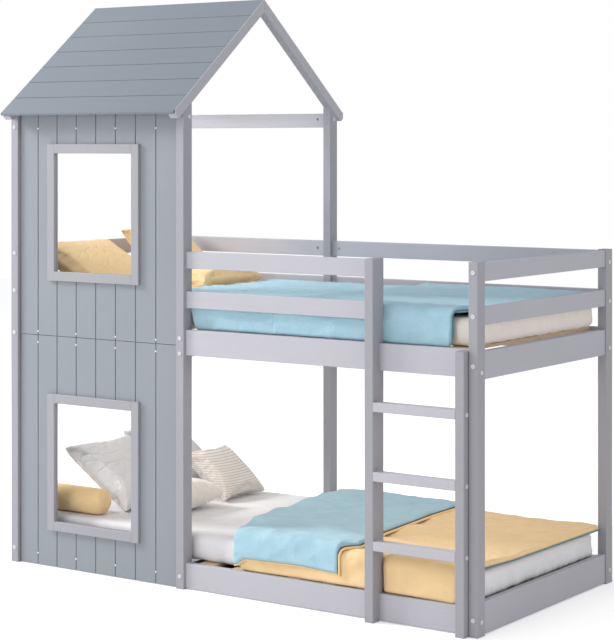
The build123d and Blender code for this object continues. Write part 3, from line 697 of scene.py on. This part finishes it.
def mattress(name, node, material, seed):
    """A foam block with a fitted sheet."""
    low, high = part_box(node)
    low = [value + SHEET_INSET for value in low]
    high = [value - SHEET_INSET for value in high]
    low[2] -= SHEET_INSET
    piece = rounded_block(name, low, high, EDGE_RADIUS, POINT_STEP, material)
    spots, normals = values_of(piece.data, "co"), values_of(piece.data, "normal")
    for number, (x, y, z) in enumerate(spots.tolist()):
        share_up = (z - low[2]) / (high[2] - low[2])
        end = max(0.0, 1 - min(x - low[0], high[0] - x) / END_REACH)
        front = max(0.0, 1 - min(y - low[1], high[1] - y) / FRONT_REACH)
        gather = ridged((x, y + 0.35 * z, z), (0.5, 0.034, 0.16), seed) * end
        gather += ridged((x + 0.3 * z, y, z), (0.06, 0.5, 0.16), seed + 2) * front * 0.6
        slow = noise.noise(Vector((x * 3, y * 4, seed)))
        puckers = PUCKER_DEPTH * gather * min(1.0, 2.4 * (1 - share_up) + 0.25)
        spots[number] -= normals[number] * max(0.0, puckers)
        spots[number, 2] -= max(0.0, SWELL_DEPTH * slow * share_up)
    piece.data.vertices.foreach_set("co", spots.ravel())
    piece.data.update()
    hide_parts(node)
    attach(piece, BODY)


mattress("upper_mattress_sheeted", "upper_mattress", cream_sheet, 3)
mattress("lower_mattress_sheeted", "lower_mattress", white_sheet, 7)
UPPER_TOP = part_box("upper_mattress")[1][2] / MM
LOWER_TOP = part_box("lower_mattress")[1][2] / MM
print("Mattress tops at", round(UPPER_TOP), "and", round(LOWER_TOP), "mm")

# %% [markdown]
# A quilt lies on the mattress and turns down over its front edge. Its middle surface is made as rows of
# points: each row starts at the back edge, runs forward over the top, rounds the mattress's edge and
# hangs. Its ends, its height and the depth of its hang change along the bed. Where the ladder's stile
# stands against it the hang is pressed in, and beside the stile it bulges.

# %% Quilt sheets
QUILT_ROWS, QUILT_COLUMNS = 150, 150


def line(stations, values):
    """A function that runs straight from each value to the next, between the stations."""
    return lambda at: float(numpy.interp(at, stations, values))


def always(value):
    """A function that gives one value everywhere."""
    return lambda at: value


def smooth_step(value, start, end):
    """0 before start, 1 after end, and an even turn between."""
    share = min(max((value - start) / (end - start), 0.0), 1.0)
    return share * share * (3 - 2 * share)


def quilt_sheet(left, right, back, lay, front, turn_radius, hang):
    """Points of a quilt's middle surface, in millimetres from the bed's faces.

    left and right give its ends as functions of y; lay is the height of its flat part, front the place
    of its hang and hang the length below the turn, each a function of x.
    """
    rows, columns = QUILT_ROWS, QUILT_COLUMNS
    sheet = numpy.zeros((rows, columns, 3))
    arc_length = turn_radius * math.pi / 2
    for row in range(rows):
        share = row / (rows - 1)
        x_front = left(0) + (right(0) - left(0)) * share
        drop = hang(x_front)
        arc = arc_length * smooth_step(drop, 0, arc_length)
        y_turn = front(x_front) + turn_radius
        top_length = back - y_turn
        length = top_length + arc + drop
        level = lay(x_front)
        for column in range(columns):
            travelled = length * column / (columns - 1)
            if travelled <= top_length:
                y, z = back - travelled, level
            elif travelled <= top_length + arc:
                angle = (travelled - top_length) / turn_radius
                y = y_turn - turn_radius * math.sin(angle)
                z = level - turn_radius * (1 - math.cos(angle))
            else:
                angle = arc / turn_radius
                past = travelled - top_length - arc
                y = y_turn - turn_radius * math.sin(angle) - past * math.cos(angle)
                z = level - turn_radius * (1 - math.cos(angle)) - past * math.sin(angle)
            depth = max(0.0, y_turn - y) + max(0.0, level - z)
            below = min(1.0, depth / (2 * turn_radius))
            at = max(0.0, y) * (1 - below)
            x = left(at) + (right(at) - left(at)) * share
            sheet[row, column] = (x, y, z)
    return sheet


def rim_profile(sheet, rim):
    """Share of full thickness at each point: a quarter round within `rim` of the sheet's edges."""
    rows, columns = sheet.shape[:2]
    across = numpy.zeros((rows, columns))
    across[1:] = numpy.cumsum(numpy.linalg.norm(numpy.diff(sheet, axis=0), axis=2), axis=0)
    along = numpy.zeros((rows, columns))
    along[:, 1:] = numpy.cumsum(numpy.linalg.norm(numpy.diff(sheet, axis=1), axis=2), axis=1)
    distance = numpy.minimum.reduce([across, across[-1] - across, along, along[:, -1:] - along])
    inside = numpy.clip(1 - distance / rim, 0, 1)
    return numpy.sqrt(1 - inside ** 2)


def folds_of(sheet, folds, seed):
    """Height of the folds at each point; each fold is (height, length in X, length in Y) in mm."""
    lift = numpy.zeros(sheet.shape[:2])
    for number, (height, length_x, length_y) in enumerate(folds):
        for row in range(sheet.shape[0]):
            for column in range(sheet.shape[1]):
                x, y, z = sheet[row, column]
                y = y + z
                crossed = (x + 0.35 * y, y - 0.1 * x, 0)
                crest = ridged(crossed, (length_x, length_y, 1), seed + 7 * number)
                lift[row, column] += height * (crest - 0.5)
    return lift


def quilt(name, sheet, thickness, rim, folds, material, seed):
    """A quilt from its middle surface."""
    profile = rim_profile(sheet, rim)
    lift = folds_of(sheet, folds, seed)
    normals = surface_normals(sheet)
    if normals[0, 0, 2] < 0:
        normals = -normals
    origin = numpy.array(place(0, 0, 0))
    upper = sheet + normals * (thickness / 2 * profile + lift * profile)[..., None]
    lower = sheet - normals * (thickness / 2 * profile)[..., None]
    return pad_object(name, upper * MM + origin, lower * MM + origin, material)


def edge_cord(name, sheet, side, radius, offset, material):
    """A piped cord along one edge of a quilt; side is a row or column of its sheet."""
    path = sheet[side] + numpy.array(offset)
    origin = numpy.array(place(0, 0, 0))
    curve = bpy.data.curves.new(name, "CURVE")
    curve.dimensions = "3D"
    curve.bevel_depth = radius * MM
    curve.bevel_resolution = 2
    curve.use_fill_caps = True
    spline = curve.splines.new("POLY")
    spline.points.add(len(path) - 1)
    for point, spot in zip(spline.points, path * MM + origin):
        point.co = (*spot, 1)
    piece = applied(name, linked(name + "_path", curve))
    bpy.data.curves.remove(curve)
    dress(piece, material)
    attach(piece, BODY)


LEFT_EDGE, RIGHT_EDGE, HANGING_EDGE = (0,), (-1,), (slice(None), -1)
print("Quilts are", QUILT_ROWS, "by", QUILT_COLUMNS, "points")

# %% [markdown]
# The upper quilt is folded back on itself: one layer lies over the whole right part of the bed, and
# where the fold ends, a third of the way along, the layer below carries on into the house. A dark teal
# hem marks the right end. A cord of the same dark teal along the fold is painted shade: it stands in
# for the shadow that the top layer's edge throws there.

# %% Upper quilt
MATTRESS_BACK = 934
UNDER_LEFT, UNDER_RIGHT = 578, 1335
FOLD_LINE = 1300
UNDER_HANG, OVER_HANG = 94, 104


def upper_under_hang(x):
    """The lower layer's hang, which starts right of the wall and ends under the fold."""
    return UNDER_HANG * smooth_step(x, 835, 870) * (1 - smooth_step(x, 1225, 1260))


def upper_over_hang(x):
    """The top layer's hang, which ends short of the mattress's right end."""
    return OVER_HANG * (1 - smooth_step(x, 1925, 1960))


under_sheet = quilt_sheet(
    left=always(UNDER_LEFT), right=always(UNDER_RIGHT), back=MATTRESS_BACK, lay=always(UPPER_TOP + 11),
    front=always(50), turn_radius=18, hang=upper_under_hang,
)
upper_under = quilt(
    "upper_quilt_under", under_sheet, thickness=16, rim=10, folds=[(6, 330, 85), (3, 120, 45)],
    material=blue_cotton, seed=11,
)
over_sheet = quilt_sheet(
    left=line([0, 60, 130, 934], [1213, 1216, 1290, FOLD_LINE]),
    right=line([0, 60, 220, 934], [1938, 1946, 2012, 2012]), back=MATTRESS_BACK - 3,
    lay=line([1200, 2012], [UPPER_TOP + 25, UPPER_TOP + 21]), front=always(47), turn_radius=20,
    hang=upper_over_hang,
)
upper_over = quilt(
    "upper_quilt_over", over_sheet, thickness=18, rim=10, folds=[(7, 360, 90), (3, 130, 45)],
    material=blue_cotton, seed=17,
)
for piece in (upper_under, upper_over):
    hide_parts("upper_duvet")
    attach(piece, BODY)
# The cord along the fold is painted shade, a dark line for the shadow of the top layer's edge; the cord at
# the right end is the hem.
edge_cord("upper_fold_hem", over_sheet, LEFT_EDGE, 2.4, (-2, -1, 0), teal_hem)
edge_cord("upper_end_hem", over_sheet, RIGHT_EDGE, 1.8, (1, 0, -1), teal_hem)
print("Upper quilt faces:", len(upper_under.data.polygons) + len(upper_over.data.polygons))

# %% [markdown]
# The lower quilt is blue on one side and yellow on the other. It lies yellow side up, and its left part
# is folded over, so a blue layer lies on the yellow one. The fold's edge is piped in dark brown, and a
# narrow yellow rim shows beyond the piping.

# %% Lower quilt
YELLOW_HANG, BLUE_HANG = 95, 58
STILE_LEFT_EDGE, STILE_RIGHT_EDGE, STILE_EASE = 1632, 1680, 14
BULGE_FRONT, PRESSED_FRONT = 33, 56


def lower_yellow_hang(x):
    """The yellow layer's hang, which ends short of both ends."""
    return YELLOW_HANG * smooth_step(x, 1040, 1085) * (1 - smooth_step(x, 1955, 1990))


def lower_blue_hang(x):
    """The blue layer's hang, a little longer at its two corners."""
    return BLUE_HANG + 22 * (1 - smooth_step(x, 1060, 1110)) + 6 * smooth_step(x, 1300, 1500)


stile_press = line(
    [
        1000, STILE_LEFT_EDGE - STILE_EASE, STILE_LEFT_EDGE, STILE_RIGHT_EDGE,
        STILE_RIGHT_EDGE + STILE_EASE, 1960, 1990,
    ],
    [44, BULGE_FRONT, PRESSED_FRONT, PRESSED_FRONT, BULGE_FRONT, BULGE_FRONT, 46],
)
yellow_rise = [12, 16, 17, 16, 10]
yellow_sheet = quilt_sheet(
    left=line([0, 144, 300, 934], [1062, 1024, 965, 930]),
    right=line([0, 60, 150, 300, 934], [1985, 1994, 2014, 2030, 2038]), back=MATTRESS_BACK,
    lay=line([915, 1300, 1560, 1796, 2040], [LOWER_TOP + rise for rise in yellow_rise]),
    front=stile_press, turn_radius=20, hang=lower_yellow_hang,
)
lower_yellow = quilt(
    "lower_quilt_yellow", yellow_sheet, thickness=20, rim=12, folds=[(8, 300, 150), (3, 110, 60)],
    material=yellow_cotton, seed=23,
)
blue_rise = [24, 34, 40, 38]
blue_sheet = quilt_sheet(
    left=line([0, 20, 144, 300, 800, 934], [1056, 1056, 1014, 950, 905, 903]),
    right=line([0, 20, 84, 319, 700, 934], [1500, 1505, 1549, 1497, 1465, 1463]), back=MATTRESS_BACK - 3,
    lay=line([905, 1100, 1350, 1500], [LOWER_TOP + rise for rise in blue_rise]),
    front=line([1000, 1550], [22, 20]), turn_radius=30, hang=lower_blue_hang,
)
lower_blue = quilt(
    "lower_quilt_blue", blue_sheet, thickness=20, rim=12, folds=[(9, 240, 190), (4, 100, 70)],
    material=blue_cotton, seed=29,
)
for piece, slot in ((lower_yellow, "yellow_cloth"), (lower_blue, "blue_cloth")):
    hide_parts("lower_duvet")
    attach(piece, BODY)
edge_cord("lower_fold_piping", blue_sheet, RIGHT_EDGE, 2.2, (3, 0, -2), brown_piping)
edge_cord("lower_fold_rim", blue_sheet, RIGHT_EDGE, 4.5, (8, -2, -7), yellow_cotton)
edge_cord("lower_hang_rim", blue_sheet, HANGING_EDGE, 3.5, (0, 2, -3), yellow_cotton)
edge_cord("lower_end_hem", yellow_sheet, RIGHT_EDGE, 2.6, (1, 0, -6), teal_hem)
print("Lower quilt faces:", len(lower_yellow.data.polygons) + len(lower_blue.data.polygons))

# %% [markdown]
# A cushion is two squares of cloth sewn along their edges and filled. The sewing pattern here is that
# flat pair, slightly smaller than the finished cushion, with the sides pulled in and a low crown. It is
# remeshed into even cells, so that the cloth can be blown up like the real one. The bolster is a roll
# whose cover is gathered at both ends.

# %% Cushion patterns
VOXEL = 5.5 * MM
SIDE_PULL = 0.06
SEAM_HALF = 3.5
PATTERN_POINTS = 61
BOLSTER_RINGS, BOLSTER_POINTS, BOLSTER_GATHERS, BOLSTER_SINK = 70, 60, 9, 3


def cushion(name, centre, lean, width, length, thickness, material):
    """An unfilled cushion, its middle at `centre` (mm), leaning back to the left by `lean` degrees."""
    steps = numpy.sin(numpy.linspace(-math.pi / 2, math.pi / 2, PATTERN_POINTS))
    u, v = numpy.meshgrid(steps, steps, indexing="ij")
    x = width / 2 * u * (1 - SIDE_PULL * (1 - v ** 2))
    y = length / 2 * v * (1 - SIDE_PULL * (1 - u ** 2))
    crown = ((1 - u ** 2) * (1 - v ** 2)) ** 0.5
    flat = numpy.stack([x, y, numpy.zeros_like(x)], axis=2) * MM
    top, bottom = flat.copy(), flat.copy()
    half = (thickness / 2 * crown + SEAM_HALF) * MM
    half[0], half[-1], half[:, 0], half[:, -1] = 0, 0, 0, 0
    top[..., 2] += half
    bottom[..., 2] -= half
    piece = pad_object(name, top, bottom, material)
    leaned = Matrix.Rotation(math.radians(lean), 4, "Y")
    piece.data.transform(Matrix.Translation(place(*centre)) @ leaned)
    return piece


def bolster(name, left, length, y, radius, material):
    """A roll along X with gathered ends, its middle over y (mm)."""
    work = bmesh.new()
    loops = []
    for ring in range(BOLSTER_RINGS):
        share = math.sin((ring / (BOLSTER_RINGS - 1) - 0.5) * math.pi) / 2 + 0.5
        reach = abs(2 * share - 1)
        swell = math.sqrt(max(0.0, 1 - max(0.0, (reach - 0.7) / 0.3) ** 2.6))
        x, middle_z = left + length * share, LOWER_TOP + radius - BOLSTER_SINK
        loop = []
        for step in range(BOLSTER_POINTS):
            angle = 2 * math.pi * step / BOLSTER_POINTS
            gather = 1 - 0.05 * reach ** 4 * abs(math.sin(BOLSTER_GATHERS * angle))
            out = radius * max(swell, 0.03) * gather
            spot = place(x, y + out * math.cos(angle), middle_z + out * math.sin(angle))
            loop.append(work.verts.new(spot))
        loops.append(loop)
    for first, second in zip(loops, loops[1:]):
        for step in range(BOLSTER_POINTS):
            after = (step + 1) % BOLSTER_POINTS
            work.faces.new((first[step], first[after], second[after], second[step]))
    work.faces.new(loops[0])
    work.faces.new(loops[-1])
    bmesh.ops.recalc_face_normals(work, faces=work.faces)
    mesh = bpy.data.meshes.new(name)
    work.to_mesh(mesh)
    work.free()
    return dress(linked(name, mesh), material)


upper_cushions = [
    cushion("yellow_pillow_front", (204, 290, UPPER_TOP + 88), 29, 384, 440, 74, yellow_cotton),
    cushion("yellow_pillow_back", (214, 738, UPPER_TOP + 112), 38, 372, 362, 70, yellow_cotton),
    cushion("yellow_pillow_flat", (470, 690, UPPER_TOP + 34), 0, 190, 410, 52, yellow_cotton),
]
lower_cushions = [
    cushion("grey_pillow_front", (238, 404, LOWER_TOP + 116), 34, 400, 392, 80, grey_cotton),
    cushion("grey_pillow_back", (206, 752, LOWER_TOP + 128), 38, 380, 340, 76, grey_cotton),
    cushion("white_pillow", (526, 388, LOWER_TOP + 60), 0, 188, 330, 96, cream_sheet),
    cushion("striped_cushion", (466, 746, LOWER_TOP + 90), 38, 280, 280, 64, striped_cotton),
    bolster("yellow_bolster", 62, 300, 146, 50, yellow_cotton),
]
print(len(upper_cushions) + len(lower_cushions), "patterns cut")

# %% [markdown]
# Air pressure is run on all the cushions of a deck at once, without gravity, and no point may move
# further than a cap. Then each is cut flat where it rests on its mattress, smoothed once, creased a
# little and attached to the frame's body in place of the frame's plain pillows.

# %% Fill the cushions
CLOTH = {
    "quality": 5, "mass": 0.25, "tension_stiffness": 12, "compression_stiffness": 12,
    "bending_stiffness": 0.4, "use_pressure": True, "uniform_pressure_force": 4.0,
}
FILL_FRAMES = 20
FILL_CAP = 16 * MM
CREASE_SIZE, CREASE_START, CREASE_DEPTH = (0.05, 0.05, 0.03), 0.8, 0.007
REST_GAP = 0.4 * MM


def replaced(piece, step):
    """The piece with its modifiers applied, under its own name."""
    name, material = piece.name, piece.data.materials[0]
    made = applied(name + step, piece)
    made.name = name
    return dress(made, material)


def to_cells(piece):
    """Remesh a piece into even cells."""
    modifier = piece.modifiers.new("cells", "REMESH")
    modifier.mode = "VOXEL"
    modifier.voxel_size = VOXEL
    return replaced(piece, "_cells")


def fill(pieces):
    """Blow the pieces up by Cloth and return their replacements."""
    cells = [to_cells(piece) for piece in pieces]
    starts = [values_of(piece.data, "co") for piece in cells]
    for piece in cells:
        cloth = piece.modifiers.new("air", "CLOTH")
        for setting, value in CLOTH.items():
            setattr(cloth.settings, setting, value)
        cloth.settings.effector_weights.gravity = 0
        cloth.point_cache.frame_end = FILL_FRAMES
    for frame_number in range(1, FILL_FRAMES + 1):
        bpy.context.scene.frame_set(frame_number)
    filled = []
    for piece, start in zip(cells, starts):
        made = replaced(piece, "_filled")
        moved = values_of(made.data, "co") - start
        far = numpy.maximum(numpy.linalg.norm(moved, axis=1, keepdims=True) / FILL_CAP, 1)
        made.data.vertices.foreach_set("co", (start + moved / far).ravel())
        filled.append(made)
    bpy.context.scene.frame_set(1)
    return filled


def settle(piece, level):
    """Cut a cushion flat where it rests, subdivide it once and crease it a little."""
    piece.modifiers.new("once", "SUBSURF").levels = 1
    made = replaced(piece, "_fine")
    spots, normals = values_of(made.data, "co"), values_of(made.data, "normal")
    for number, spot in enumerate(spots.tolist()):
        crease = ridged(spot, CREASE_SIZE, len(made.name))
        if crease > CREASE_START:
            spots[number] -= normals[number] * (crease - CREASE_START) * CREASE_DEPTH
    spots[:, 2] = numpy.maximum(spots[:, 2], level * MM + REST_GAP)
    made.data.vertices.foreach_set("co", spots.ravel())
    made.data.update()
    return made


for cushions, node, level in (
    (upper_cushions, "upper_pillows", UPPER_TOP), (lower_cushions, "lower_pillows", LOWER_TOP)
):
    for filled in fill(cushions):
        piece = settle(filled, level)
        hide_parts(node)
        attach(piece, BODY)
        print(piece.name, len(piece.data.polygons), "faces")

# %% [markdown]
# The light is a photographer's: one soft lamp at the front left, about four metres up, which throws
# the window frames' short shadows to the right, a bright even room, weaker lamps in front and to the
# right, and two small ones under the upper deck and inside the house. The floor is white enough to
# vanish into the room, and only the bed's own shadow shows.

# %% Light, floor and view
world = bpy.data.worlds.new("studio")
bpy.context.scene.world = world
world.use_nodes = True
room = world.node_tree
room.nodes.clear()
ROOM_STRENGTH, FLOOR_WHITE, FLOOR_LIFT, FLOOR_REACH = 0.78, 0.86, 0.34, 12.0
WHITE = (1, 1, 1, 1)
room_light = add_node(room, "ShaderNodeBackground", {"Color": paint("#F6F7FA"), "Strength": ROOM_STRENGTH})
room_white = add_node(room, "ShaderNodeBackground", {"Color": WHITE, "Strength": 1.0})
room_path = add_node(room, "ShaderNodeLightPath")
room_mix = add_node(
    room, "ShaderNodeMixShader",
    {
        0: room_path.outputs["Is Camera Ray"], 1: room_light.outputs["Background"],
        2: room_white.outputs["Background"],
    },
)
add_node(room, "ShaderNodeOutputWorld", {"Surface": room_mix.outputs["Shader"]})

floor_mesh = bpy.data.meshes.new("studio_floor")
floor_corners = [(-FLOOR_REACH, -FLOOR_REACH, 0), (FLOOR_REACH, -FLOOR_REACH, 0)]
floor_corners += [(FLOOR_REACH, FLOOR_REACH, 0), (-FLOOR_REACH, FLOOR_REACH, 0)]
floor_mesh.from_pydata(floor_corners, [], [(0, 1, 2, 3)])
studio_floor = linked("studio_floor", floor_mesh)
floor_paint, floor_tree, floor_shader = start_material("white_studio_floor", 1.0, specular=0.0)
floor_shader.inputs["Base Color"].default_value = (FLOOR_WHITE, FLOOR_WHITE, FLOOR_WHITE, 1)
floor_path = add_node(floor_tree, "ShaderNodeLightPath")
floor_lift = add_node(
    floor_tree, "ShaderNodeMath", {0: floor_path.outputs["Is Camera Ray"], 1: FLOOR_LIFT},
    operation="MULTIPLY",
)
floor_glow = add_node(
    floor_tree, "ShaderNodeEmission", {"Color": WHITE, "Strength": floor_lift.outputs["Value"]}
)
floor_sum = add_node(
    floor_tree, "ShaderNodeAddShader",
    {0: floor_shader.outputs["BSDF"], 1: floor_glow.outputs["Emission"]},
)
floor_tree.links.new(floor_sum.outputs["Shader"], floor_tree.nodes["Material Output"].inputs["Surface"])
floor_mesh.materials.append(floor_paint)


def lamp(name, spot, target, size, power):
    """A soft lamp at one place, facing another; size is its width and height in metres."""
    data = bpy.data.lights.new(name, "AREA")
    data.shape = "RECTANGLE"
    data.size, data.size_y = size
    data.energy = power
    made = linked(name, data)
    made.location = spot
    made.rotation_euler = (target - spot).to_track_quat("-Z", "Y").to_euler()


bed_middle = place(1030, 498, 1000)
KEY_WAY, KEY_DISTANCE = Vector((28, 12, -16)).normalized(), 6.5
lamp("key_lamp", bed_middle - KEY_WAY * KEY_DISTANCE, bed_middle, (1.5, 1.5), 350)
lamp("front_lamp", bed_middle + Vector((-1.0, -5.5, 0.4)), bed_middle, (3.2, 3.2), 70)
lamp("lower_fill", place(1150, 480, 800), place(1150, 480, 100), (1.7, 0.8), 3.2)
lamp("house_fill", place(430, 500, 1750), place(430, 500, 900), (0.7, 0.7), 2.2)
lamp("side_lamp", bed_middle + Vector((6.0, -1.5, 0.2)), bed_middle, (2.4, 2.4), 45)
bpy.context.scene.view_settings.view_transform = "Standard"
print(len(bpy.data.lights), "lamps")
